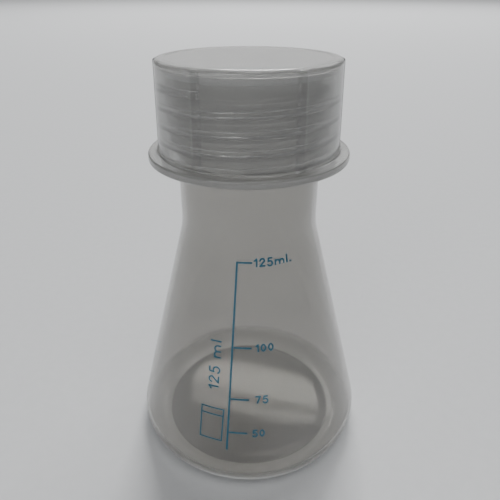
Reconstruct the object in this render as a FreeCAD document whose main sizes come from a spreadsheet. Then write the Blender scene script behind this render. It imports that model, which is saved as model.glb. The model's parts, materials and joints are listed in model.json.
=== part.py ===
import FreeCAD, Part

import os
from math import cos, degrees, radians, sin, tan

import Sketcher
from FreeCAD import Matrix, Placement, Rotation, Vector

# A 125 ml conical flask of moulded polypropylene, with a screw cap and a sealing liner.
#
# Frame: the origin is the centre of the base, +Z points up through the neck, and -Y is the
# side with the printed scale. Lengths are in millimetres and angles in degrees.
# Print angles are counted from -Y, positive towards +X.

doc = FreeCAD.newDocument("ConicalFlask")

# ---------------------------------------------------------------------------------------
# Driving dimensions
# ---------------------------------------------------------------------------------------

SIZES = {
    # flask body
    "wall": 1.05,
    "base_thickness": 1.2,
    "heel_radius": 6.22,
    "cone_slope": 14.6,
    "neck_radius": 17.35,
    "corner_height": 65.8,
    "corner_blend": 20.0,
    "rim_height": 102.4,
    "rim_rounding": 0.45,
    "punt_height": 0.6,
    "punt_flat_radius": 19.5,
    "punt_foot_radius": 22.5,
    "punt_blend": 8.0,
    # thread, shared by the neck and the cap
    "pitch": 3.9,
    "thread_height": 1.6,
    "thread_root_width": 1.9,
    "thread_crest_width": 1.0,
    "thread_embed": 0.5,
    "neck_thread_start": 85.9,
    "neck_thread_turns": 3.6,
    # screw cap
    "cap_top_height": 105.6,
    "cap_top_radius": 21.14,
    "cap_foot_radius": 21.69,
    "cap_plate": 1.6,
    "cap_bore_radius": 19.4,
    "cap_edge_rounding": 1.0,
    "flange_radius": 24.3,
    "flange_foot_height": 83.1,
    "flange_thickness": 1.9,
    "flange_rounding": 0.5,
    "flange_root_fillet": 0.7,
    "cap_thread_crest_radius": 17.75,
    "cap_thread_start": 84.23,
    "cap_thread_turns": 4.2,
    "cap_thread_root_width": 1.6,
    "cap_thread_crest_width": 0.9,
    "rib_count": 6,
    "rib_width": 2.5,
    "rib_proud": 0.45,
    "rib_embed": 0.6,
    # liner
    "liner_radius": 18.95,
    "liner_thickness": 1.5,
    "seat_gap": 0.05,
    # printed scale
    "ink_thickness": 0.06,
    "ink_foot_height": 10.0,
    "ink_top_height": 65.0,
    "spine_width": 0.46,
    "spine_foot_height": 13.6,
    "spine_foot_angle": -10.8,
    "spine_top_angle": -8.8,
    "tick_width": 0.42,
    "pen_width": 0.38,
    "digit_height": 1.75,
    "note_digit_height": 2.5,
    "note_foot_height": 29.8,
    "note_angle": -17.2,
    "box_width": 6.3,
    "box_tall": 9.4,
    "box_line": 0.3,
    "box_header": 1.9,
    "box_middle_height": 20.1,
    "box_middle_angle": -19.4,
}

sheet = doc.addObject("Spreadsheet::Sheet", "Sizes")
for row, (alias, number) in enumerate(SIZES.items(), start=1):
    sheet.set(f"A{row}", alias)
    sheet.set(f"B{row}", str(number))
    sheet.setAlias(f"B{row}", alias)
doc.recompute()


def size(alias):
    """A driving dimension, read back from the sheet."""
    return float(sheet.get(alias))


# ---------------------------------------------------------------------------------------
# Helpers for bodies, sketches and features
# ---------------------------------------------------------------------------------------


def new_body(label):
    body = doc.addObject("PartDesign::Body", label)
    body.Label = label
    return body


def origin_feature(body, role):
    """One of the body's own origin planes or axes."""
    return next(item for item in body.Origin.OriginFeatures if item.Role == role)


def new_sketch(body, name, role="XZ_Plane"):
    sketch = body.newObject("Sketcher::SketchObject", name)
    sketch.AttachmentSupport = [(origin_feature(body, role), "")]
    sketch.MapMode = "FlatFace"
    return sketch


def polygon(sketch, corners):
    """Draws a closed polygon whose corners are (radius, height) pairs of expressions."""
    places = [[float(sheet.evalExpression(text)) for text in corner] for corner in corners]
    points = [Vector(across, up, 0) for across, up in places]
    count = len(points)
    for index in range(count):
        following = (index + 1) % count
        sketch.addGeometry(Part.LineSegment(points[index], points[following]))
    for index in range(count):
        following = (index + 1) % count
        sketch.addConstraint(Sketcher.Constraint("Coincident", index, 2, following, 1))
    for index, corner in enumerate(corners):
        for kind, axis, text, place in zip(
            ("DistanceX", "DistanceY"), (-2, -1), corner, places[index]
        ):
            if place == 0:
                sketch.addConstraint(Sketcher.Constraint("PointOnObject", index, 1, axis))
            else:
                distance = Sketcher.Constraint(kind, -1, 1, index, 1, place)
                number = sketch.addConstraint(distance)
                sketch.setExpression(f"Constraints[{number}]", text)


def revolve(body, name, sketch):
    feature = body.newObject("PartDesign::Revolution", name)
    feature.Profile = sketch
    feature.ReferenceAxis = (sketch, ["V_Axis"])
    feature.Angle = 360
    return feature


def circle_edges(feature, places):
    """Names of the feature's circular edges at the given (radius, height) places."""
    names = []
    for number, edge in enumerate(feature.Shape.Edges, start=1):
        if not isinstance(edge.Curve, Part.Circle):
            continue
        for radius, height in places:
            same_radius = abs(edge.Curve.Radius - radius) < 0.01
            same_height = abs(edge.Curve.Center.z - height) < 0.01
            if same_radius and same_height:
                names.append(f"Edge{number}")
    return names


def round_edges(body, name, base, places, radius_expression):
    """Fillets the base feature's circular edges at the given (radius, height) places."""
    doc.recompute()
    wanted = [[float(sheet.evalExpression(text)) for text in place] for place in places]
    fillet = body.newObject("PartDesign::Fillet", name)
    fillet.Base = (base, circle_edges(base, wanted))
    fillet.setExpression("Radius", radius_expression)
    return fillet


def helical_rib(body, name, corners, turns_expression):
    """Adds a right-handed helical rib whose section starts on the -X side."""
    sketch = new_sketch(body, name + "Section")
    polygon(sketch, corners)
    rib = body.newObject("PartDesign::AdditiveHelix", name)
    rib.Profile = sketch
    rib.ReferenceAxis = (sketch, ["V_Axis"])
    rib.Mode = "pitch-turns-angle"
    rib.LeftHanded = False
    rib.Reversed = False
    rib.setExpression("Pitch", "Sizes.pitch")
    rib.setExpression("Turns", turns_expression)
    return rib


# ---------------------------------------------------------------------------------------
# Flask body: cone, neck, base with a low punt, and the neck's thread
# ---------------------------------------------------------------------------------------

CONE_FOOT = "(Sizes.neck_radius + Sizes.corner_height * tan(Sizes.cone_slope))"
BORE_RADIUS = "(Sizes.neck_radius - Sizes.wall)"
INNER_CORNER = "(Sizes.corner_height - Sizes.wall * tan(Sizes.cone_slope / 2))"
INNER_FOOT = (
    f"({CONE_FOOT} - Sizes.base_thickness * tan(Sizes.cone_slope)"
    " - Sizes.wall / cos(Sizes.cone_slope))"
)
PUNT_INSIDE = "(Sizes.punt_height + Sizes.base_thickness)"


def make_flask_body():
    body = new_body("flask_body")
    sketch = new_sketch(body, "FlaskProfile")
    polygon(
        sketch,
        [
            ("0", "Sizes.punt_height"),
            ("Sizes.punt_flat_radius", "Sizes.punt_height"),
            ("Sizes.punt_foot_radius", "0"),
            (CONE_FOOT, "0"),
            ("Sizes.neck_radius", "Sizes.corner_height"),
            ("Sizes.neck_radius", "Sizes.rim_height"),
            (BORE_RADIUS, "Sizes.rim_height"),
            (BORE_RADIUS, INNER_CORNER),
            (INNER_FOOT, "Sizes.base_thickness"),
            ("Sizes.punt_foot_radius", "Sizes.base_thickness"),
            ("Sizes.punt_flat_radius", PUNT_INSIDE),
            ("0", PUNT_INSIDE),
        ],
    )
    shell = revolve(body, "FlaskShell", sketch)
    heel = round_edges(body, "Heel", shell, [(CONE_FOOT, "0")], "Sizes.heel_radius")
    inner_heel = round_edges(
        body,
        "InnerHeel",
        heel,
        [(INNER_FOOT, "Sizes.base_thickness")],
        "Sizes.heel_radius - Sizes.wall",
    )
    shoulder = round_edges(
        body,
        "NeckCorner",
        inner_heel,
        [("Sizes.neck_radius", "Sizes.corner_height"), (BORE_RADIUS, INNER_CORNER)],
        "Sizes.corner_blend",
    )
    punt = round_edges(
        body,
        "Punt",
        shoulder,
        [
            ("Sizes.punt_flat_radius", "Sizes.punt_height"),
            ("Sizes.punt_foot_radius", "0"),
            ("Sizes.punt_foot_radius", "Sizes.base_thickness"),
            ("Sizes.punt_flat_radius", PUNT_INSIDE),
        ],
        "Sizes.punt_blend",
    )
    rim = round_edges(
        body,
        "Rim",
        punt,
        [("Sizes.neck_radius", "Sizes.rim_height"), (BORE_RADIUS, "Sizes.rim_height")],
        "Sizes.rim_rounding",
    )
    doc.recompute()
    root = "-(Sizes.neck_radius - Sizes.thread_embed)"
    crest = "-(Sizes.neck_radius + Sizes.thread_height)"
    start = "Sizes.neck_thread_start"
    body.Tip = rim
    body.Tip = helical_rib(
        body,
        "NeckThread",
        [
            (root, f"{start} - Sizes.thread_root_width / 2"),
            (crest, f"{start} - Sizes.thread_crest_width / 2"),
            (crest, f"{start} + Sizes.thread_crest_width / 2"),
            (root, f"{start} + Sizes.thread_root_width / 2"),
        ],
        "Sizes.neck_thread_turns",
    )
    return body


# ---------------------------------------------------------------------------------------
# Screw cap: plate, skirt, flange, grip ribs and internal thread
# ---------------------------------------------------------------------------------------

FLANGE_TOP = "(Sizes.flange_foot_height + Sizes.flange_thickness)"
PLATE_FOOT = "(Sizes.cap_top_height - Sizes.cap_plate)"


def make_screw_cap():
    body = new_body("screw_cap")
    sketch = new_sketch(body, "CapProfile")
    polygon(
        sketch,
        [
            ("0", PLATE_FOOT),
            ("Sizes.cap_bore_radius", PLATE_FOOT),
            ("Sizes.cap_bore_radius", "Sizes.flange_foot_height"),
            ("Sizes.flange_radius", "Sizes.flange_foot_height"),
            ("Sizes.flange_radius", FLANGE_TOP),
            ("Sizes.cap_foot_radius", FLANGE_TOP),
            ("Sizes.cap_top_radius", "Sizes.cap_top_height"),
            ("0", "Sizes.cap_top_height"),
        ],
    )
    shell = revolve(body, "CapShell", sketch)
    top_edge = round_edges(
        body,
        "CapTopEdge",
        shell,
        [("Sizes.cap_top_radius", "Sizes.cap_top_height")],
        "Sizes.cap_edge_rounding",
    )
    flange_root = round_edges(
        body,
        "FlangeRoot",
        top_edge,
        [("Sizes.cap_foot_radius", FLANGE_TOP)],
        "Sizes.flange_root_fillet",
    )
    flange_edge = round_edges(
        body,
        "FlangeEdge",
        flange_root,
        [
            ("Sizes.flange_radius", "Sizes.flange_foot_height"),
            ("Sizes.flange_radius", FLANGE_TOP),
        ],
        "Sizes.flange_rounding",
    )
    doc.recompute()
    body.Tip = flange_edge
    root = "-(Sizes.cap_bore_radius + Sizes.thread_embed)"
    crest = "-Sizes.cap_thread_crest_radius"
    start = "Sizes.cap_thread_start"
    body.Tip = helical_rib(
        body,
        "CapThread",
        [
            (root, f"{start} - Sizes.cap_thread_root_width / 2"),
            (crest, f"{start} - Sizes.cap_thread_crest_width / 2"),
            (crest, f"{start} + Sizes.cap_thread_crest_width / 2"),
            (root, f"{start} + Sizes.cap_thread_root_width / 2"),
        ],
        "Sizes.cap_thread_turns",
    )
    doc.recompute()
    body.Tip = add_grip_ribs(body)
    return body


def add_grip_ribs(body):
    """Adds low ribs that follow the skirt's draft, one of them on the +X side."""
    sketch = new_sketch(body, "RibProfile")
    rib_top = "(Sizes.cap_top_height - Sizes.cap_edge_rounding * 0.6)"
    rib_foot = "(Sizes.flange_foot_height + Sizes.flange_thickness / 2)"
    polygon(
        sketch,
        [
            ("Sizes.cap_foot_radius - Sizes.rib_embed", rib_foot),
            ("Sizes.cap_foot_radius + Sizes.rib_proud", rib_foot),
            ("Sizes.cap_top_radius + Sizes.rib_proud", rib_top),
            ("Sizes.cap_top_radius - Sizes.rib_embed", rib_top),
        ],
    )
    rib = revolve(body, "GripRib", sketch)
    rib.Midplane = True
    rib.setExpression("Angle", "Sizes.rib_width / Sizes.cap_top_radius * 180 / pi")
    doc.recompute()
    pattern = body.newObject("PartDesign::PolarPattern", "GripRibs")
    pattern.Originals = [rib]
    pattern.Axis = (origin_feature(body, "Z_Axis"), [""])
    pattern.Angle = 360
    pattern.setExpression("Occurrences", "Sizes.rib_count")
    return pattern


# ---------------------------------------------------------------------------------------
# Cap liner: a soft sealing disc between the cap's plate and the neck's rim
# ---------------------------------------------------------------------------------------


def make_cap_liner():
    liner = doc.addObject("Part::Cylinder", "cap_liner")
    liner.Label = "cap_liner"
    liner.setExpression("Radius", "Sizes.liner_radius")
    liner.setExpression("Height", "Sizes.liner_thickness")
    liner.setExpression("Placement.Base.z", "Sizes.rim_height + Sizes.seat_gap")
    return liner


# ---------------------------------------------------------------------------------------
# Printed scale: ink films on the cone
# ---------------------------------------------------------------------------------------

# Each graduation: its height, the angle where its tick ends, the angle where its
# numeral starts, and the numeral.
GRADUATIONS = {
    "125ml": (62.65, 2.4, 4.0, "125ml."),
    "100": (41.6, 1.5, 4.2, "100"),
    "75": (27.85, 0.0, 3.7, "75"),
    "50": (18.5, -0.9, 1.9, "50"),
}

# Pen strokes of each glyph, on a grid where a digit is 1 tall: the glyph's width, then its
# strokes. A pair is a corner of straight runs, and three pairs are the arc through them.
GLYPHS = {
    "0": (0.6, [
        [((0.3, 1.0), (0.0, 0.5), (0.3, 0.0))],
        [((0.3, 0.0), (0.6, 0.5), (0.3, 1.0))],
    ]),
    "1": (0.3, [[(0.0, 0.74), (0.3, 1.0), (0.3, 0.0)]]),
    "2": (0.62, [[((0.02, 0.72), (0.32, 1.0), (0.6, 0.66)), (0.0, 0.0), (0.62, 0.0)]]),
    "5": (0.62, [[(0.58, 1.0), (0.12, 1.0), ((0.06, 0.52), (0.62, 0.34), (0.0, 0.1))]]),
    "7": (0.62, [[(0.0, 1.0), (0.62, 1.0), (0.2, 0.0)]]),
    "m": (1.24, [
        [(0.0, 0.0), (0.0, 0.58)],
        [((0.0, 0.27), (0.31, 0.58), (0.62, 0.27)), (0.62, 0.0)],
        [((0.62, 0.27), (0.93, 0.58), (1.24, 0.27)), (1.24, 0.0)],
    ]),
    "l": (0.1, [[(0.05, 0.0), (0.05, 1.0)]]),
    ".": (0.1, [[(0.0, 0.0), (0.06, 0.0)]]),
    " ": (0.2, []),
}
GLYPH_GAP = 0.45
STAMP_DEPTH = 4.0


def cone_radius(height):
    slope = radians(size("cone_slope"))
    return size("neck_radius") + (size("corner_height") - height) * tan(slope)


def surface_frame(angle, height):
    """A placement on the cone: X runs around it, Y up the slope and Z out of it."""
    turn = radians(angle)
    slope = radians(size("cone_slope"))
    radius = cone_radius(height)
    around = Vector(cos(turn), sin(turn), 0)
    up = Vector(-sin(turn) * sin(slope), cos(turn) * sin(slope), cos(slope))
    place = Vector(radius * sin(turn), -radius * cos(turn), height)
    return frame_at(place, around, up)


def frame_at(place, across, up):
    out = across.cross(up)
    rows = [(across[k], up[k], out[k], place[k]) for k in range(3)]
    return Placement(Matrix(*rows[0], *rows[1], *rows[2], 0, 0, 0, 1))


def make_ink_zone():
    """The thin conical skin that every mark is cut from."""
    cones = []
    thickness = "Sizes.ink_thickness / cos(Sizes.cone_slope)"
    for name, offset in (("InkOutside", thickness), ("InkInside", "0")):
        cone = doc.addObject("Part::Cone", name)
        for side, level in (("Radius1", "ink_foot_height"), ("Radius2", "ink_top_height")):
            drop = f"Sizes.{level} * tan(Sizes.cone_slope)"
            cone.setExpression(side, f"{CONE_FOOT} - {drop} + {offset}")
        cone.setExpression("Height", "Sizes.ink_top_height - Sizes.ink_foot_height")
        cone.setExpression("Placement.Base.z", "Sizes.ink_foot_height")
        cones.append(cone)
    zone = doc.addObject("Part::Cut", "InkZone")
    zone.Base, zone.Tool = cones
    return zone


def ink_mark(label, zone, stamp):
    """The part of the ink zone that a stamp covers."""
    mark = doc.addObject("Part::Common", label)
    mark.Label = label
    mark.Base = zone
    mark.Tool = stamp
    return mark


def bar(name, length, width, placement):
    """A box stamp, centred on a placement."""
    box = doc.addObject("Part::Box", name)
    box.Length = length
    box.Width = width
    box.Height = STAMP_DEPTH
    centring = Vector(-length / 2, -width / 2, -STAMP_DEPTH / 2)
    box.Placement = placement.multiply(Placement(centring, Rotation()))
    return box


def spine_angle(height):
    """The print angle of the scale's slightly slanted upright line."""
    foot, top = size("spine_foot_height"), GRADUATIONS["125ml"][0]
    share = (height - foot) / (top - foot)
    return size("spine_foot_angle") * (1 - share) + size("spine_top_angle") * share


def make_scale(zone):
    """The upright line, and a tick and a numeral for each graduation."""
    foot_height, top_height = size("spine_foot_height"), GRADUATIONS["125ml"][0]
    foot = surface_frame(spine_angle(foot_height), foot_height)
    top = surface_frame(spine_angle(top_height), top_height)
    run = top.Base - foot.Base
    middle = surface_frame(spine_angle((foot_height + top_height) / 2), 0)
    up = Vector(run).normalize()
    out = middle.Rotation.multVec(Vector(0, 0, 1))
    across = up.cross(out).normalize()
    width = size("spine_width")
    placement = frame_at((foot.Base + top.Base) / 2, across, up)
    marks = [ink_mark("scale_spine", zone, bar("SpineBar", width, run.Length + width, placement))]
    for name, (height, tick_end, text_start, text) in GRADUATIONS.items():
        radius = cone_radius(height)
        tick_start = spine_angle(height) + degrees(width / 2 / radius)
        length = radius * radians(tick_end - tick_start)
        placement = surface_frame((tick_start + tick_end) / 2, height)
        tick = bar(f"TickBar{name}", length, size("tick_width"), placement)
        numeral = text_stamp(f"NumeralStamp{name}", text, text_start, height)
        marks.append(ink_mark(f"tick_{name}", zone, tick))
        marks.append(ink_mark(f"numeral_{name}", zone, numeral))
    return marks


def straight_outline(start, end, pen):
    """The outline of one straight run, with square ends half a pen beyond it."""
    ahead = (end - start).normalize() * (pen / 2)
    aside = Vector(-ahead.y, ahead.x, 0)
    corners = [start - ahead - aside, end + ahead - aside, end + ahead + aside, start - ahead + aside]
    return Part.makePolygon(corners + corners[:1])


def stroke_outline(places, scale, pen):
    """The outline of one pen stroke through its corners and arcs."""
    edges = []
    last = None
    for place in places:
        if isinstance(place[0], tuple):
            start, middle, end = (Vector(*pair, 0) * scale for pair in place)
            arc = Part.Arc(start, middle, end).toShape()
        else:
            start = end = Vector(*place, 0) * scale
            arc = None
        if last is not None:
            edges.append(Part.LineSegment(last, start).toShape())
        if arc is not None:
            edges.append(arc)
        last = end
    if len(edges) == 1 and arc is None:
        return straight_outline(edges[0].Vertexes[0].Point, last, pen)
    return Part.Wire(edges).makeOffset2D(pen / 2)


def stroke_prism(places, scale):
    """A pen stroke standing through the plane that it is drawn on."""
    outline = stroke_outline(places, scale, size("pen_width"))
    prism = Part.Face(outline).extrude(Vector(0, 0, STAMP_DEPTH))
    prism.translate(Vector(0, 0, -STAMP_DEPTH / 2))
    return prism


def glyph_prisms(character, scale, placement):
    """A glyph's strokes as prisms through the cone, centred across the placement."""
    width, strokes = GLYPHS[character]
    centred = placement.multiply(Placement(Vector(-width * scale / 2, 0, 0), Rotation()))
    prisms = []
    for places in strokes:
        prism = stroke_prism(places, scale)
        prism.Placement = centred.multiply(prism.Placement)
        prisms.append(prism)
    return prisms


def stamp_of(name, prisms):
    stamp = doc.addObject("Part::Feature", name)
    stamp.Shape = prisms[0].multiFuse(prisms[1:])
    return stamp


def text_stamp(name, text, start_angle, height):
    """Text that runs level around the cone, centred on a height."""
    scale = size("digit_height")
    baseline = height - scale / 2 * cos(radians(size("cone_slope")))
    along = 0.0
    prisms = []
    for character in text:
        width = GLYPHS[character][0] * scale
        angle = start_angle + degrees((along + width / 2) / cone_radius(height))
        prisms += glyph_prisms(character, scale, surface_frame(angle, baseline))
        along += width + GLYPH_GAP * scale
    return stamp_of(name, prisms)


def make_capacity_note(zone):
    """The capacity again, reading up the slope to the left of the scale."""
    scale = size("note_digit_height")
    slope = radians(size("cone_slope"))
    quarter_turn = Placement(Vector(0, 0, 0), Rotation(Vector(0, 0, 1), 90))
    along = 0.0
    prisms = []
    for character in "125 ml":
        width = GLYPHS[character][0] * scale
        height = size("note_foot_height") + (along + width / 2) * cos(slope)
        placement = surface_frame(size("note_angle"), height).multiply(quarter_turn)
        prisms += glyph_prisms(character, scale, placement)
        along += width + GLYPH_GAP * scale
    return ink_mark("capacity_note", zone, stamp_of("NoteStamp", prisms))


def make_marking_box(zone):
    """A blank outlined field with a header band, for a label to be written in."""
    middle = surface_frame(size("box_middle_angle"), size("box_middle_height"))
    width, tall, line = size("box_width"), size("box_tall"), size("box_line")
    side, end = (width - line) / 2, (tall - line) / 2
    bars = [
        ("Left", line, tall, -side, 0),
        ("Right", line, tall, side, 0),
        ("Foot", width, line, 0, -end),
        ("Top", width, line, 0, end),
        ("Header", width, line, 0, end - size("box_header")),
    ]
    frame = doc.addObject("Part::MultiFuse", "MarkingFrame")
    frame.Shapes = [
        bar("Box" + name, length, breadth, middle.multiply(Placement(Vector(x, y, 0), Rotation())))
        for name, length, breadth, x, y in bars
    ]
    return ink_mark("marking_box", zone, frame)


# ---------------------------------------------------------------------------------------
# Build, check and write
# ---------------------------------------------------------------------------------------

subparts = [make_flask_body(), make_screw_cap(), make_cap_liner()]
doc.recompute()
ink_zone = make_ink_zone()
doc.recompute()
subparts += make_scale(ink_zone)
subparts.append(make_capacity_note(ink_zone))
subparts.append(make_marking_box(ink_zone))
doc.recompute()

for item in doc.Objects:
    if {"Invalid", "Error"} & set(item.State):
        raise RuntimeError(f"{item.Name} failed: {item.State}")
for item in subparts:
    if item.Shape.isNull() or not item.Shape.isValid():
        raise RuntimeError(f"{item.Label} has no valid shape")

os.makedirs("parts", exist_ok=True)
for item in subparts:
    item.Shape.exportStep(f"parts/{item.Label}.step")
    volume = item.Shape.Volume
    print(f"{item.Label}: {len(item.Shape.Solids)} solids, {volume:.2f} cubic mm")
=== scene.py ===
"""A 125 ml conical flask of milky polypropylene, with its screw cap, on a pale floor.

Every length below is in metres. Azimuths are counted counter-clockwise from +X, seen from above,
so the printed scale is at azimuth -90 degrees, which faces the camera.
"""

import json
from math import atan2, cos, pi, radians, sin, tan

import bpy
import numpy as np
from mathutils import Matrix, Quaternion, Vector


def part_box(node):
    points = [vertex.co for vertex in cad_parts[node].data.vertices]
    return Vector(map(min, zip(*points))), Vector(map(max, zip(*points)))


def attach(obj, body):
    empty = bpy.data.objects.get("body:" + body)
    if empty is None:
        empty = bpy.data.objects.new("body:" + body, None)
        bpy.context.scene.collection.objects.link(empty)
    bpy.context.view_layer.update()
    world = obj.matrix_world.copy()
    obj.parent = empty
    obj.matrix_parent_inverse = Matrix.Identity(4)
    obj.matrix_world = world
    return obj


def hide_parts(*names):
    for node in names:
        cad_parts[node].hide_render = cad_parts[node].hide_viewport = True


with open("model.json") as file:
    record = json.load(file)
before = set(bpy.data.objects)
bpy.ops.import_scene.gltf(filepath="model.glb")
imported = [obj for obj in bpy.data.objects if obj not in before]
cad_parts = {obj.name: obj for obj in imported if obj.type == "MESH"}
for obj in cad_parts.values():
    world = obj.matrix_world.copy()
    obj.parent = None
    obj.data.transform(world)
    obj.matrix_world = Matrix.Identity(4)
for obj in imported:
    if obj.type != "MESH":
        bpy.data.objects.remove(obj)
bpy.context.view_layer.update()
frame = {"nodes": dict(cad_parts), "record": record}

MM = 0.001

# ---------------------------------------------------------------------------------------
# Sizes, from the frame where the frame has them
# ---------------------------------------------------------------------------------------

flask_low, flask_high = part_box("flask_body")
cap_low, cap_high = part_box("screw_cap")
liner_low, liner_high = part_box("cap_liner")
lift_per_radian = frame["record"]["behaviour"]["couplings"][0]["ratio"]

PITCH = lift_per_radian * 2 * pi
THREAD_AZIMUTH = pi
THREAD_FADE_TURNS = 0.16

# How closely the turned meshes follow their outlines. Lengths less than CLOSE apart count as equal.
ARC_STEP = radians(7)
PLAIN_ROW = 2.0 * MM
CAP_ROW = 1.5 * MM
THREAD_ROW = 0.16 * MM
FLASK_COLUMNS = 300
LINER_COLUMNS = 180
CLOSE = 0.01 * MM

# Flask body
WALL = 1.05 * MM
BASE_THICKNESS = 1.2 * MM
CONE_SLOPE = radians(14.6)
NECK_RADIUS = 17.35 * MM
NECK_BORE = NECK_RADIUS - WALL
CORNER_HEIGHT = 65.8 * MM
CORNER_BLEND = 20.0 * MM
HEEL_RADIUS = 6.22 * MM
RIM_HEIGHT = flask_high.z
RIM_ROUNDING = 0.45 * MM
PUNT_HEIGHT = 0.6 * MM
PUNT_FLAT_RADIUS = 22.6 * MM
PUNT_FOOT_RADIUS = 24.8 * MM
PUNT_BLEND = 4.0 * MM
HEEL_INSIDE = 25.2 * MM
SEAM_DEPTH = 0.05 * MM
SEAM_HALF_ANGLE_SINE = 0.005
NECK_THREAD_START = 85.9 * MM
NECK_THREAD_FOOT = NECK_THREAD_START - 1.4 * MM
NECK_THREAD_TURNS = 3.6
NECK_THREAD_HEIGHT = 1.55 * MM
NECK_THREAD_HALF_FOOT = 0.98 * MM
NECK_THREAD_HALF_CREST = 0.38 * MM

# Screw cap
CAP_TOP = cap_high.z
CAP_FOOT = cap_low.z
CAP_TOP_RADIUS = 21.14 * MM
CAP_FOOT_RADIUS = 21.69 * MM
CAP_BORE = 19.4 * MM
CAP_PLATE_FOOT = CAP_TOP - 1.6 * MM
CAP_EDGE_ROUNDING = 1.0 * MM
CAP_RIM_INSIDE = 19.3 * MM
CAP_DISH = 0.10 * MM
CAP_DISH_SLOPE_WIDTH = 0.6 * MM
CAP_DISH_BLEND = 1.5 * MM
CAP_CORNER_INSIDE = 0.5 * MM
CAP_MOUTH_ROUNDING = 0.3 * MM
FLANGE_RADIUS = cap_high.x
FLANGE_TOP = CAP_FOOT + 1.9 * MM
FLANGE_ROUNDING = 0.5 * MM
FLANGE_FILLET = 0.7 * MM
CAP_THREAD_START = 84.23 * MM
CAP_THREAD_TURNS = 4.2
CAP_THREAD_HEIGHT = 1.6 * MM
CAP_THREAD_HALF_FOOT = 0.84 * MM
CAP_THREAD_HALF_CREST = 0.32 * MM
RIB_COUNT = 6
RIB_WIDTH = 2.9 * MM
RIB_PROUD = 0.42 * MM
RIB_FLANK = 0.95 * MM
RIB_END_LOW = CAP_TOP - 0.50 * MM
RIB_END_HIGH = CAP_TOP - 0.10 * MM

# Plastic. A place whose thickness is 1 loses THICK_LOSS of its clearness, and its colour is painted paler
# as painted light, for the light that thick milky plastic scatters.
# The other thick places have these shares of it, and the ribs' outer faces are darkened with painted
# shade.
THICK_LOSS = 0.66
# Painted light: the paler colour that thick places are painted, partly the real milkiness of thick
# plastic.
THICK_PAINTED_LIGHT_TONE = (1.0, 1.0, 0.98)
FINISH_THICK = 0.35
PLATE_THICK = 0.31
SHOULDER_THICK = 0.14
SHOULDER_DEPTH = 3.0 * MM
FLANGE_THICK = 0.09
# Painted shade: the ribs' outer faces take the dark plastic colour times this.
RIB_PAINTED_SHADE = 0.84
CLEAR_UNEVENNESS = 0.01
FROST_UNEVENNESS = 0.01
PLASTIC_IOR = 1.49

# Liner
LINER_RADIUS = liner_high.x
LINER_EDGE = 0.3 * MM

# Colours
FLASK_LIGHT = (0.63, 0.618, 0.592)
FLASK_DARK = (0.61, 0.598, 0.572)
CAP_LIGHT = (0.61, 0.61, 0.595)
CAP_DARK = (0.59, 0.59, 0.575)
FOAM_LIGHT = (0.82, 0.84, 0.86)
FOAM_DARK = (0.70, 0.72, 0.74)
INK_LIGHT = (0.006, 0.13, 0.21)
INK_DARK = (0.003, 0.085, 0.15)
FLOOR_LIGHT = (0.63, 0.64, 0.65)
FLOOR_DARK = (0.61, 0.62, 0.63)
SKY_COLOUR = (0.80, 0.81, 0.84)

# Floor, lights and camera
FLOOR_HALF_SIDE = 15.0
LIGHT_TARGET = (0, 0, 0.03)
WINDOW_SLANT = radians(-8)
SKY_STRENGTH = 0.12
CAMERA_PLACE = (0.25 * MM, -113.85 * MM, 119.13 * MM)
CAMERA_TILT = 0.506
CAMERA_LENS = 34.23
CAMERA_SENSOR = 36.0

# ---------------------------------------------------------------------------------------
# Outlines and turned meshes
# ---------------------------------------------------------------------------------------


def smoothstep(low, high, value):
    """0 at low, 1 at high, smooth between. With low above high it steps down instead."""
    share = np.clip((value - low) / (high - low), 0.0, 1.0)
    return share * share * (3 - 2 * share)


def rounded(corners):
    """Corners (radius, height, blend) as straight runs and arcs: a list of key points."""
    path = [np.array(corners[0][:2])]
    for before, here, after in zip(corners, corners[1:], corners[2:]):
        corner = np.array(here[:2])
        blend = here[2] if len(here) > 2 else 0.0
        if blend == 0.0:
            path.append(corner)
            continue
        back = np.array(before[:2]) - corner
        ahead = np.array(after[:2]) - corner
        back /= np.linalg.norm(back)
        ahead /= np.linalg.norm(ahead)
        half = np.arccos(np.clip(back @ ahead, -1, 1)) / 2
        reach = blend / tan(half)
        centre = corner + (back + ahead) / np.linalg.norm(back + ahead) * blend / sin(half)
        start, end = corner + back * reach - centre, corner + ahead * reach - centre
        turn = atan2(start[0] * end[1] - start[1] * end[0], start @ end)
        steps = max(3, int(np.ceil(abs(turn) / ARC_STEP)))
        for step in range(steps + 1):
            angle = turn * step / steps
            spin = np.array([[cos(angle), -sin(angle)], [sin(angle), cos(angle)]])
            path.append(centre + spin @ start)
    path.append(np.array(corners[-1][:2]))
    return path


def resample(path, spacing):
    """Adds points along the path's runs, no further apart than spacing(middle of the run)."""
    points = [path[0]]
    for start, end in zip(path, path[1:]):
        length = np.linalg.norm(end - start)
        if length < CLOSE / 100:
            continue
        pieces = max(1, int(np.ceil(length / spacing((start + end) / 2))))
        points += [start + (end - start) * k / pieces for k in range(1, pieces + 1)]
    return np.array(points)


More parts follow.
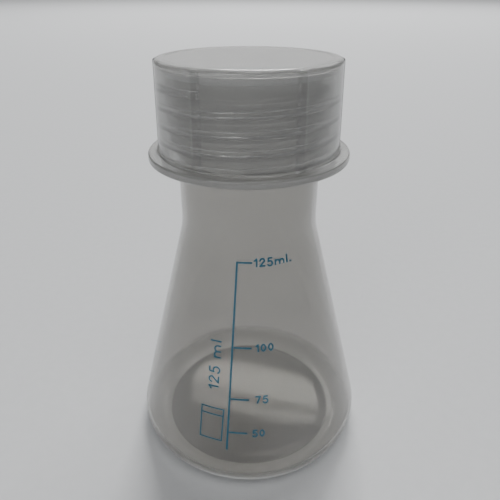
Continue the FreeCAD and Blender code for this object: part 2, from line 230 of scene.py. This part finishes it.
def turned(name, points, azimuths, swell=None):
    """A closed solid turned about Z from an outline whose two ends lie on the axis.
    swell(radii, heights, azimuths) moves each point outwards by the length it returns."""
    rim = points[1:-1]
    radii = np.repeat(rim[:, :1], len(azimuths), axis=1)
    heights = np.repeat(rim[:, 1:], len(azimuths), axis=1)
    around = np.repeat(azimuths[None, :], len(rim), axis=0)
    if swell is not None:
        radii = radii + swell(radii, heights, around)
    grid = np.stack([radii * np.cos(around), radii * np.sin(around), heights], axis=-1)
    poles = np.array([[0, 0, points[0][1]], [0, 0, points[-1][1]]])
    vertices = np.concatenate([grid.reshape(-1, 3), poles])
    rows, columns = len(rim), len(azimuths)
    index = np.arange(rows * columns).reshape(rows, columns)
    following = np.roll(index, -1, axis=1)
    quads = np.stack([index[:-1], following[:-1], following[1:], index[1:]], axis=-1).reshape(-1, 4)
    first, last = rows * columns, rows * columns + 1
    fans = [(first, b, a) for a, b in zip(index[0], following[0])]
    fans += [(last, a, b) for a, b in zip(index[-1], following[-1])]
    mesh = bpy.data.meshes.new(name)
    mesh.from_pydata(vertices.tolist(), [], quads.tolist() + [tuple(map(int, fan)) for fan in fans])
    mesh.polygons.foreach_set("use_smooth", np.ones(len(mesh.polygons), dtype=bool))
    mesh.update()
    piece = bpy.data.objects.new(name, mesh)
    bpy.context.scene.collection.objects.link(piece)
    return piece


def thread(start, turns, height, half_foot, half_crest):
    """A right-handed thread that starts on the -X side: a function that gives how far it stands
    out at (heights, azimuths)."""

    def rise(heights, azimuths):
        share = ((azimuths - THREAD_AZIMUTH) / (2 * pi)) % 1.0
        along = (heights - start) / PITCH
        turn = np.round(along - share) + share
        offset = np.abs(along - turn) * PITCH
        ends = smoothstep(0, THREAD_FADE_TURNS, turn) * smoothstep(0, THREAD_FADE_TURNS, turns - turn)
        return height * smoothstep(half_foot, half_crest, offset) * ends

    return rise


# ---------------------------------------------------------------------------------------
# The flask body
# ---------------------------------------------------------------------------------------


def flask_outline():
    """From the middle of the recess under the base, up the outside, over the rim and down the inside."""
    cone_foot = NECK_RADIUS + CORNER_HEIGHT * tan(CONE_SLOPE)
    inner_foot = cone_foot - BASE_THICKNESS * tan(CONE_SLOPE) - WALL / cos(CONE_SLOPE)
    inner_corner = CORNER_HEIGHT - WALL * tan(CONE_SLOPE / 2)
    punt_inside = PUNT_HEIGHT / 2 + BASE_THICKNESS
    corners = [
        (0, PUNT_HEIGHT),
        (PUNT_FLAT_RADIUS, PUNT_HEIGHT, PUNT_BLEND),
        (PUNT_FOOT_RADIUS, 0, PUNT_BLEND),
        (cone_foot, 0, HEEL_RADIUS),
        (NECK_RADIUS, CORNER_HEIGHT, CORNER_BLEND),
        (NECK_RADIUS, RIM_HEIGHT, RIM_ROUNDING),
        (NECK_BORE, RIM_HEIGHT, RIM_ROUNDING),
        (NECK_BORE, inner_corner, CORNER_BLEND),
        (inner_foot, BASE_THICKNESS, HEEL_RADIUS - WALL),
        (PUNT_FOOT_RADIUS, BASE_THICKNESS, PUNT_BLEND),
        (PUNT_FLAT_RADIUS, punt_inside, PUNT_BLEND),
        (0, punt_inside),
    ]
    # The long run with the thread on it is split, so that its rows lie close only there.
    path = rounded(corners)
    place = next(k for k, point in enumerate(path) if point[1] > NECK_THREAD_FOOT)
    path.insert(place, np.array((NECK_RADIUS, NECK_THREAD_FOOT)))

    def spacing(middle):
        outside = middle[0] > NECK_BORE + WALL / 2
        on_thread = outside and NECK_THREAD_FOOT < middle[1] < RIM_HEIGHT - RIM_ROUNDING
        return THREAD_ROW if on_thread else PLAIN_ROW

    return resample(path, spacing)


def make_flask():
    rise = thread(
        NECK_THREAD_START,
        NECK_THREAD_TURNS,
        NECK_THREAD_HEIGHT,
        NECK_THREAD_HALF_FOOT,
        NECK_THREAD_HALF_CREST,
    )

    def swell(radii, heights, azimuths):
        """The neck's thread, and the faint seam grooves at +X and -X."""
        on_neck = np.abs(radii - NECK_RADIUS) < CLOSE / 10
        thread_rise = np.where(on_neck, rise(heights, azimuths), 0.0)
        skin = NECK_RADIUS + np.maximum(CORNER_HEIGHT - heights, 0) * tan(CONE_SLOPE)
        outside = np.abs(radii - skin) < WALL / 3
        seam = outside & (np.abs(np.sin(azimuths)) < SEAM_HALF_ANGLE_SINE)
        low_end = smoothstep(HEEL_RADIUS * 2, HEEL_RADIUS * 3, heights)
        high_end = smoothstep(CAP_FOOT, CAP_FOOT - 1 * MM, heights)
        return thread_rise - np.where(seam, SEAM_DEPTH, 0.0) * low_end * high_end

    azimuths = np.arange(FLASK_COLUMNS) * 2 * pi / FLASK_COLUMNS
    piece = turned("flask_shell", flask_outline(), azimuths, swell)
    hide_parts("flask_body")
    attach(piece, "flask")
    return piece


# ---------------------------------------------------------------------------------------
# The screw cap and its liner
# ---------------------------------------------------------------------------------------


def cap_outline():
    """From the middle of the top plate's underside, down the bore, round the flange and up to the top."""
    corners = [
        (0, CAP_PLATE_FOOT),
        (CAP_BORE, CAP_PLATE_FOOT, CAP_CORNER_INSIDE),
        (CAP_BORE, CAP_FOOT, CAP_MOUTH_ROUNDING),
        (FLANGE_RADIUS, CAP_FOOT, FLANGE_ROUNDING),
        (FLANGE_RADIUS, FLANGE_TOP, FLANGE_ROUNDING),
        (CAP_FOOT_RADIUS, FLANGE_TOP, FLANGE_FILLET),
        (CAP_TOP_RADIUS, CAP_TOP, CAP_EDGE_ROUNDING),
        (CAP_RIM_INSIDE, CAP_TOP, CAP_DISH_BLEND),
        (CAP_RIM_INSIDE - CAP_DISH_SLOPE_WIDTH, CAP_TOP - CAP_DISH, CAP_DISH_BLEND),
        (0, CAP_TOP - CAP_DISH),
    ]

    def spacing(middle):
        on_thread = abs(middle[0] - CAP_BORE) < CLOSE and middle[1] > CAP_FOOT
        return THREAD_ROW if on_thread else CAP_ROW

    return resample(rounded(corners), spacing)


def ribbed_azimuths():
    """The cap's azimuths, close together where a grip rib's flanks rise and even elsewhere."""
    half_rib = RIB_WIDTH / 2 / CAP_TOP_RADIUS
    flank = RIB_FLANK / CAP_TOP_RADIUS
    sector = 2 * pi / RIB_COUNT
    near = [half_rib + flank * share for share in np.linspace(-1.2, 0.4, 7)]
    plain = list(np.linspace(near[-1], sector / 2, 22)[1:-1])
    middle = list(np.linspace(0, near[0], 4)[:-1])
    half = middle + near + plain
    offsets = [-angle for angle in reversed(half[1:])] + half + [sector / 2]
    return np.array([sector * rib + offset for rib in range(RIB_COUNT) for offset in offsets])


def make_cap():
    rise = thread(
        CAP_THREAD_START,
        CAP_THREAD_TURNS,
        CAP_THREAD_HEIGHT,
        CAP_THREAD_HALF_FOOT,
        CAP_THREAD_HALF_CREST,
    )
    sector = 2 * pi / RIB_COUNT

    def swell(radii, heights, azimuths):
        """The cap's thread, inside, and its grip ribs, outside."""
        on_bore = np.abs(radii - CAP_BORE) < CLOSE
        inner = np.where(on_bore, -rise(heights, azimuths), 0.0)
        aside = np.abs((azimuths + sector / 2) % sector - sector / 2) * radii
        rib = RIB_PROUD * smoothstep(RIB_WIDTH / 2, RIB_WIDTH / 2 - RIB_FLANK, aside)
        rib *= smoothstep(RIB_END_HIGH, RIB_END_LOW, heights)
        outside = (radii > CAP_BORE + 0.5 * MM) & (radii < CAP_FOOT_RADIUS + 0.3 * MM)
        return inner + np.where(outside & (heights > FLANGE_TOP), rib, 0.0)

    piece = turned("cap_shell", cap_outline(), ribbed_azimuths(), swell)
    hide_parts("screw_cap")
    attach(piece, "cap")
    return piece


def make_liner():
    corners = [
        (0, liner_low.z),
        (LINER_RADIUS, liner_low.z, LINER_EDGE),
        (LINER_RADIUS, liner_high.z, LINER_EDGE),
        (0, liner_high.z),
    ]
    outline = resample(rounded(corners), lambda middle: PLAIN_ROW)
    piece = turned("liner_disc", outline, np.arange(LINER_COLUMNS) * 2 * pi / LINER_COLUMNS)
    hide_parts("cap_liner")
    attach(piece, "liner")
    return piece


# ---------------------------------------------------------------------------------------
# Materials
# ---------------------------------------------------------------------------------------


def new_material(name):
    material = bpy.data.materials.new(name)
    material.use_nodes = True
    nodes = material.node_tree.nodes
    return material, nodes, material.node_tree.links, nodes["Principled BSDF"]


def noise(nodes, links, scale, detail=3.0):
    """A noise texture in object space, so that it stays on the piece."""
    coordinates = nodes.new("ShaderNodeTexCoord")
    texture = nodes.new("ShaderNodeTexNoise")
    texture.inputs["Scale"].default_value = scale
    texture.inputs["Detail"].default_value = detail
    links.new(coordinates.outputs["Object"], texture.inputs["Vector"])
    return texture.outputs["Fac"]


def ramp(nodes, links, source, stops):
    """The colour that a ramp gives for a value: stops are (place, colour)."""
    node = nodes.new("ShaderNodeValToRGB")
    while len(node.color_ramp.elements) < len(stops):
        node.color_ramp.elements.new(0.5)
    for element, (place, colour) in zip(node.color_ramp.elements, stops):
        element.position = place
        element.color = (*colour, 1.0)
    links.new(source, node.inputs["Fac"])
    return node.outputs["Color"]


def spread(nodes, links, source, low, high, from_low=0.3, from_high=0.7, smooth=False):
    """A value between from_low and from_high, spread over low to high."""
    node = nodes.new("ShaderNodeMapRange")
    if smooth:
        node.interpolation_type = "SMOOTHSTEP"
    node.inputs["From Min"].default_value = from_low
    node.inputs["From Max"].default_value = from_high
    node.inputs["To Min"].default_value = low
    node.inputs["To Max"].default_value = high
    links.new(source, node.inputs["Value"])
    return node.outputs["Result"]


def bumped(nodes, links, shader, height, strength, depth):
    """Fine relief on a shader, from a height."""
    node = nodes.new("ShaderNodeBump")
    node.inputs["Strength"].default_value = strength
    node.inputs["Distance"].default_value = depth
    links.new(height, node.inputs["Height"])
    links.new(node.outputs["Normal"], shader.inputs["Normal"])


def place_on_piece(nodes, links):
    """Where the shaded point is: its radius from the object's axis, its azimuth and its height."""
    coordinates = nodes.new("ShaderNodeTexCoord")
    axes = nodes.new("ShaderNodeSeparateXYZ")
    links.new(coordinates.outputs["Object"], axes.inputs["Vector"])
    flat = nodes.new("ShaderNodeCombineXYZ")
    links.new(axes.outputs["X"], flat.inputs["X"])
    links.new(axes.outputs["Y"], flat.inputs["Y"])
    radius = nodes.new("ShaderNodeVectorMath")
    radius.operation = "LENGTH"
    links.new(flat.outputs["Vector"], radius.inputs[0])
    azimuth = math_node(nodes, links, "ARCTAN2", axes.outputs["Y"], axes.outputs["X"])
    return radius.outputs["Value"], azimuth, axes.outputs["Z"]


def math_node(nodes, links, operation, first, second=0.0):
    """A Math node on two sockets or numbers: the socket with its result."""
    node = nodes.new("ShaderNodeMath")
    node.operation = operation
    for socket, value in zip(node.inputs, (first, second)):
        if isinstance(value, (int, float)):
            socket.default_value = value
        else:
            links.new(value, socket)
    return node.outputs["Value"]


def step_up(nodes, links, value, low, high):
    """0 below low, 1 above high, smooth between. With low above high it steps down instead."""
    return spread(nodes, links, value, 0.0, 1.0, low, high, smooth=True)


def mixed(nodes, links, share, first, second):
    """The colour first, turned into the plain colour second where share is 1."""
    node = nodes.new("ShaderNodeMix")
    node.data_type = "RGBA"
    node.inputs["B"].default_value = (*second, 1.0)
    links.new(first, node.inputs["A"])
    links.new(share, node.inputs["Factor"])
    return node.outputs["Result"]


def milky_plastic(name, light, dark, clear, roughness, thick_and_painted_light_places, painted_shade_places=None):
    """Natural polypropylene: partly clear, partly milky, with a faintly uneven skin.
    It is milkier where the thick-place mask gives 1, and there its colour is painted paler as painted
    light; where the rib mask gives 1 its colour is darkened as painted shade."""
    material, nodes, links, shader = new_material(name)
    radius, azimuth, height = place_on_piece(nodes, links)
    thick_and_painted_light = thick_and_painted_light_places(nodes, links, radius, azimuth, height)
    mottle = noise(nodes, links, 90.0, detail=4.0)
    tone = ramp(nodes, links, mottle, [(0.3, dark), (0.7, light)])
    # Painted light: thick places are painted paler, besides being less clear.
    tone = mixed(nodes, links, thick_and_painted_light, tone, THICK_PAINTED_LIGHT_TONE)
    if painted_shade_places is not None:
        # Painted shade: the grip ribs' outer faces are painted darker.
        painted_shade = painted_shade_places(nodes, links, radius, azimuth, height)
        tone = mixed(nodes, links, painted_shade, tone, [part * RIB_PAINTED_SHADE for part in dark])
    links.new(tone, shader.inputs["Base Color"])
    cloud = noise(nodes, links, 40.0, detail=2.0)
    even = spread(nodes, links, cloud, clear - CLEAR_UNEVENNESS, clear + CLEAR_UNEVENNESS)
    loss = math_node(nodes, links, "MULTIPLY", thick_and_painted_light, THICK_LOSS)
    clearness = math_node(nodes, links, "SUBTRACT", even, loss)
    links.new(clearness, shader.inputs["Transmission Weight"])
    patches = noise(nodes, links, 160.0, detail=4.0)
    frost = spread(nodes, links, patches, roughness - FROST_UNEVENNESS, roughness + FROST_UNEVENNESS)
    links.new(frost, shader.inputs["Roughness"])
    fine = noise(nodes, links, 2600.0, detail=2.0)
    bumped(nodes, links, shader, fine, strength=0.02, depth=0.05 * MM)
    shader.inputs["IOR"].default_value = PLASTIC_IOR
    return material


def flask_thick_and_painted_light_places(nodes, links, radius, azimuth, height):
    """The heel, where the wall turns in to the base, and in part the neck under the cap: milkier there,
    and painted paler as painted light.
    """
    outward = step_up(nodes, links, radius, HEEL_INSIDE - 0.3 * MM, HEEL_INSIDE + 0.3 * MM)
    low = step_up(nodes, links, height, HEEL_RADIUS, HEEL_RADIUS / 2)
    heel = math_node(nodes, links, "MULTIPLY", outward, low)
    finish = step_up(nodes, links, height, CAP_FOOT, NECK_THREAD_START)
    neck = math_node(nodes, links, "MULTIPLY", finish, FINISH_THICK)
    return math_node(nodes, links, "MAXIMUM", heel, neck)


def cap_thick_and_painted_light_places(nodes, links, radius, azimuth, height):
    """The top plate, less so the skirt's shoulder below it, and the flange a little: milkier there, and
    painted paler as painted light.
    """
    plate = step_up(nodes, links, height, CAP_TOP - 0.6 * MM, CAP_TOP - 0.2 * MM)
    shoulder_foot = CAP_PLATE_FOOT - SHOULDER_DEPTH
    shoulder = step_up(nodes, links, height, shoulder_foot, CAP_PLATE_FOOT + 0.4 * MM)
    flange = step_up(nodes, links, height, FLANGE_TOP + 0.5 * MM, FLANGE_TOP - 0.1 * MM)
    thickest = math_node(nodes, links, "MULTIPLY", plate, PLATE_THICK)
    for place, share in ((shoulder, SHOULDER_THICK), (flange, FLANGE_THICK)):
        thick_and_painted_light = math_node(nodes, links, "MULTIPLY", place, share)
        thickest = math_node(nodes, links, "MAXIMUM", thickest, thick_and_painted_light)
    return thickest


def cap_painted_shade_places(nodes, links, radius, azimuth, height):
    """The outer faces of the grip ribs, where the plastic is thicker: their colour is darkened there as
    painted shade.
    """
    ribs_around = math_node(nodes, links, "MULTIPLY", azimuth, float(RIB_COUNT))
    wave = math_node(nodes, links, "COSINE", ribs_around)
    edge = cos(RIB_COUNT * RIB_WIDTH / 2 / CAP_TOP_RADIUS)
    rib = step_up(nodes, links, wave, edge - 0.01, edge + 0.02)
    outside = step_up(nodes, links, radius, CAP_TOP_RADIUS - 0.4 * MM, CAP_TOP_RADIUS - 0.2 * MM)
    below_top = step_up(nodes, links, height, CAP_TOP - 0.2 * MM, CAP_TOP - 0.6 * MM)
    above_flange = step_up(nodes, links, height, FLANGE_TOP, FLANGE_TOP + 0.3 * MM)
    upright = math_node(nodes, links, "MULTIPLY", below_top, above_flange)
    outer_rib = math_node(nodes, links, "MULTIPLY", rib, outside)
    return math_node(nodes, links, "MULTIPLY", outer_rib, upright)


def foam(name):
    """White closed-cell foam, with its cells as fine relief."""
    material, nodes, links, shader = new_material(name)
    cells = noise(nodes, links, 1800.0, detail=2.0)
    colour = ramp(nodes, links, cells, [(0.3, FOAM_DARK), (0.7, FOAM_LIGHT)])
    links.new(colour, shader.inputs["Base Color"])
    bumped(nodes, links, shader, cells, strength=0.3, depth=0.1 * MM)
    shader.inputs["Roughness"].default_value = 0.7
    return material


def ink(name):
    """Screen-printed ink: dark blue-green, with thin spots in the film."""
    material, nodes, links, shader = new_material(name)
    spots = noise(nodes, links, 2200.0, detail=3.0)
    colour = ramp(nodes, links, spots, [(0.35, INK_DARK), (0.7, INK_LIGHT)])
    links.new(colour, shader.inputs["Base Color"])
    sheen = spread(nodes, links, spots, 0.35, 0.6)
    links.new(sheen, shader.inputs["Roughness"])
    bumped(nodes, links, shader, spots, strength=0.2, depth=0.02 * MM)
    return material


def paint(piece, material):
    piece.data.materials.clear()
    piece.data.materials.append(material)


# ---------------------------------------------------------------------------------------
# Floor, lights and camera
# ---------------------------------------------------------------------------------------


def make_floor():
    size = FLOOR_HALF_SIDE
    mesh = bpy.data.meshes.new("floor")
    corners = [(-size, -size, 0), (size, -size, 0), (size, size, 0), (-size, size, 0)]
    mesh.from_pydata(corners, [], [(0, 1, 2, 3)])
    floor = bpy.data.objects.new("floor", mesh)
    bpy.context.scene.collection.objects.link(floor)
    material, nodes, links, shader = new_material("floor_paper")
    grain = noise(nodes, links, 300.0)
    colour = ramp(nodes, links, grain, [(0.3, FLOOR_DARK), (0.7, FLOOR_LIGHT)])
    links.new(colour, shader.inputs["Base Color"])
    shader.inputs["Roughness"].default_value = 0.8
    paint(floor, material)


def softbox(name, place, width, height, power, aim=LIGHT_TARGET, roll=0.0):
    """A rectangular lamp that faces aim, with its power in watts. roll turns it in its own plane."""
    data = bpy.data.lights.new(name, "AREA")
    data.shape = "RECTANGLE"
    data.size, data.size_y = width, height
    data.energy = power
    lamp = bpy.data.objects.new(name, data)
    lamp.location = place
    facing = (Vector(aim) - Vector(place)).to_track_quat("-Z", "Y")
    lamp.rotation_euler = (facing @ Quaternion((0, 0, 1), roll)).to_euler()
    bpy.context.scene.collection.objects.link(lamp)


def on_dome(bearing, elevation, distance):
    """A place at a bearing (degrees clockwise from straight behind the flask, seen from above), at
    an elevation (degrees above the floor) and at a distance."""
    level = distance * cos(radians(elevation))
    return (
        level * sin(radians(bearing)),
        level * cos(radians(bearing)),
        distance * sin(radians(elevation)),
    )


def make_lights():
    """Large softboxes some metres away, so that the floor is lit evenly."""
    # These three lie behind the flask, where the camera sees them mirrored in the flask's base.
    softbox("window_softbox", on_dome(4, 44.7, 5.0), 1.90, 0.30, 170.0, roll=WINDOW_SLANT)
    softbox("sash_softbox", on_dome(4, 47.9, 5.0), 1.90, 0.08, 40.0, roll=WINDOW_SLANT)
    softbox("crown_softbox", on_dome(14, 60, 5.0), 1.30, 1.10, 38.0)
    # These light the cap's right side, its top, and the whole object from above and in front.
    softbox("key_softbox", on_dome(42, 40, 4.0), 1.20, 1.60, 20.0)
    softbox("horizon_softbox", on_dome(0, 9, 7.0), 6.00, 1.20, 16.0)
    softbox("top_softbox", on_dome(150, 72, 4.6), 2.40, 2.40, 52.0)
    softbox("front_softbox", on_dome(205, 20, 4.0), 2.60, 1.40, 45.0)
    # This one keeps the far floor as pale as the near floor.
    softbox("far_softbox", (0, 9, 4), 10.0, 4.0, 250.0, aim=(0, 9.01, 0))
    world = bpy.data.worlds.new("studio")
    world.use_nodes = True
    sky = world.node_tree.nodes["Background"]
    sky.inputs["Color"].default_value = (*SKY_COLOUR, 1)
    sky.inputs["Strength"].default_value = SKY_STRENGTH
    bpy.context.scene.world = world


def make_camera():
    data = bpy.data.cameras.new("camera")
    data.sensor_width = CAMERA_SENSOR
    data.lens = CAMERA_LENS
    data.clip_start, data.clip_end = 0.005, 20.0
    camera = bpy.data.objects.new("camera", data)
    camera.location = CAMERA_PLACE
    camera.rotation_euler = (pi / 2 - CAMERA_TILT, 0, 0)
    bpy.context.scene.collection.objects.link(camera)
    bpy.context.scene.camera = camera


# ---------------------------------------------------------------------------------------
# The scene
# ---------------------------------------------------------------------------------------

make_camera()
make_lights()
make_floor()

flask_plastic = milky_plastic(
    "flask_plastic",
    FLASK_LIGHT,
    FLASK_DARK,
    clear=0.82,
    roughness=0.05,
    thick_and_painted_light_places=flask_thick_and_painted_light_places,
)
cap_plastic = milky_plastic(
    "cap_plastic",
    CAP_LIGHT,
    CAP_DARK,
    clear=0.81,
    roughness=0.18,
    thick_and_painted_light_places=cap_thick_and_painted_light_places,
    painted_shade_places=cap_painted_shade_places,
)
scale_ink = ink("scale_ink")

paint(make_flask(), flask_plastic)
paint(make_cap(), cap_plastic)
paint(make_liner(), foam("liner_foam"))
for node in frame["record"]["subparts"]:
    if node["material_slot"] == "scale_ink":
        paint(frame["nodes"][node["node"]], scale_ink)
